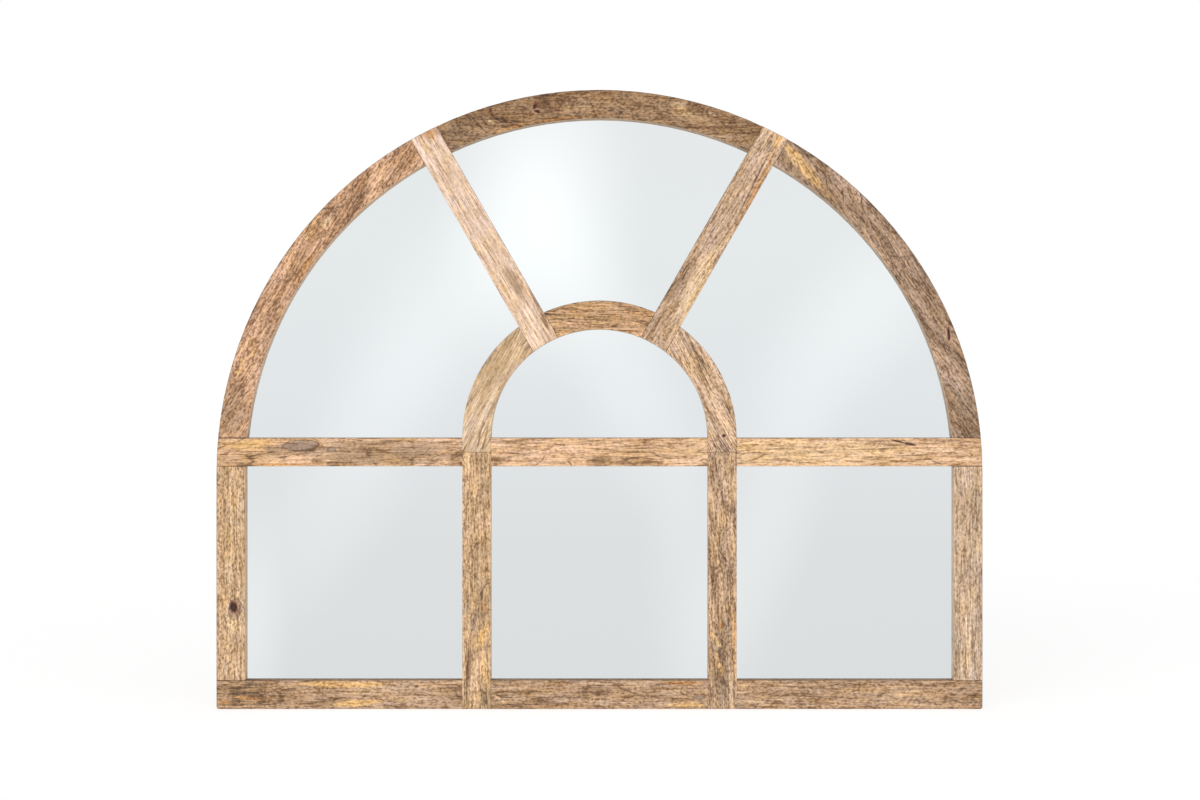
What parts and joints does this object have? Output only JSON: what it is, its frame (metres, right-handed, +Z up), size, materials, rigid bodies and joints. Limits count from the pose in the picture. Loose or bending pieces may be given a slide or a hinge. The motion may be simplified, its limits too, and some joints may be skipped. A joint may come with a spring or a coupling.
{
  "type": "arched window mirror",
  "caption": "Wall mirror shaped as a round-headed window: halved wooden bars over mirror panes, backing board and two ring hangers.",
  "frame": {"origin": "middle of the bottom edge's face, halfway through the wood's 28 mm depth", "axes": "+Z up; the mirror's front looks along -Y and its back towards +Y, where the wall is; +X to the viewer's right"},
  "size_m": [1.2, 0.0337, 0.97],
  "materials": {
    "mango_pale": "planed and sanded, matt clear wax, pale board",
    "mango_golden": "planed and sanded, matt clear wax, golden board",
    "mango_brown": "planed and sanded, matt clear wax, brown board",
    "mango_dark": "planed and sanded, matt clear wax, dark board",
    "mirror_glass": "silvered float glass",
    "mdf": "raw MDF",
    "zinc_steel": "bright zinc-plated steel",
    "felt": "pressed felt"
  },
  "bodies": {
    "frame": {"stile_left": "mango_pale", "stile_right": "mango_pale", "inner_arch_left": "mango_pale", "inner_arch_right": "mango_pale", "radial_bar_left": "mango_pale", "radial_bar_right": "mango_pale", "transom": "mango_golden", "mullion_left": "mango_golden", "inner_arch_top": "mango_golden", "bottom_rail": "mango_brown", "mullion_right": "mango_brown", "rim_left": "mango_brown", "rim_top": "mango_dark", "rim_right": "mango_dark", "pane_lower_left": "mirror_glass", "pane_lower_middle": "mirror_glass", "pane_lower_right": "mirror_glass", "pane_upper_left": "mirror_glass", "pane_upper_middle": "mirror_glass", "pane_upper_right": "mirror_glass", "pane_inner_arch": "mirror_glass", "back_board": "mdf", "board_screw_01": "zinc_steel", "board_screw_02": "zinc_steel", "board_screw_03": "zinc_steel", "board_screw_04": "zinc_steel", "board_screw_05": "zinc_steel", "board_screw_06": "zinc_steel", "board_screw_07": "zinc_steel", "board_screw_08": "zinc_steel", "board_screw_09": "zinc_steel", "board_screw_10": "zinc_steel", "board_screw_11": "zinc_steel", "board_screw_12": "zinc_steel", "board_screw_13": "zinc_steel", "board_screw_14": "zinc_steel", "board_screw_15": "zinc_steel", "board_screw_16": "zinc_steel", "board_screw_17": "zinc_steel", "board_screw_18": "zinc_steel", "board_screw_19": "zinc_steel", "hanger_screw_left_1": "zinc_steel", "hanger_screw_left_2": "zinc_steel", "hanger_screw_right_1": "zinc_steel", "hanger_screw_right_2": "zinc_steel", "hanger_strap_left": "zinc_steel", "hanger_strap_right": "zinc_steel", "wall_bumper_left": "felt", "wall_bumper_right": "felt"},
    "ring_left": {"hanger_ring_left": "zinc_steel"},
    "ring_right": {"hanger_ring_right": "zinc_steel"}
  },
  "joints": [
    {"name": "ring_left_swing", "type": "hinge", "parent": "frame", "child": "ring_left", "pos_m": [-0.52624, 0.017, 0.62667], "axis": [-0.8988, 0, 0.4384], "range_deg": [0, 178]},
    {"name": "ring_right_swing", "type": "hinge", "parent": "frame", "child": "ring_right", "pos_m": [0.52624, 0.017, 0.62667], "axis": [-0.8988, 0, -0.4384], "range_deg": [0, 178]}
  ]
}
